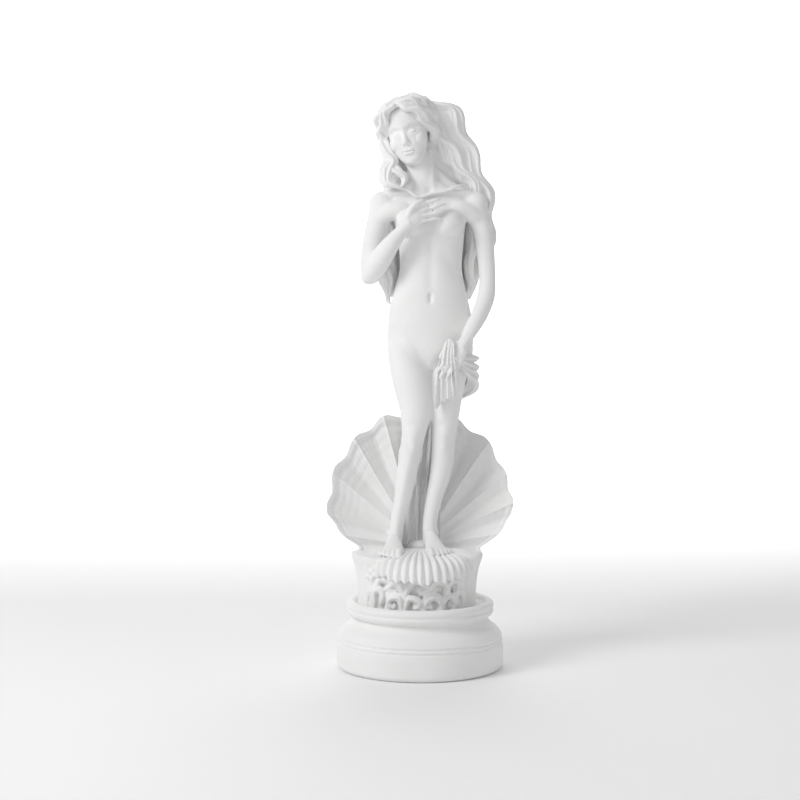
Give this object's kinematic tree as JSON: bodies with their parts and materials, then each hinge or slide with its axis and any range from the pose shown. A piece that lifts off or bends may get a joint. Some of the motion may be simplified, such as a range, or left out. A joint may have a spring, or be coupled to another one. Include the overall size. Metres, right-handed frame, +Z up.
{
  "type": "aphrodite statuette",
  "caption": "White plaster statuette of a standing goddess holding a mantle, on an open scallop shell, a stump of carved foam and a round moulded plinth.",
  "frame": {"origin": "centre of the plinth's flat underside", "axes": "+Z up the figure, +X to the figure's left, +Y to its back, so the figure faces -Y"},
  "size_m": [0.098, 0.0874, 0.3],
  "materials": {
    "plaster": "matte"
  },
  "bodies": {
    "root": {"statuette": "plaster"}
  },
  "joints": []
}
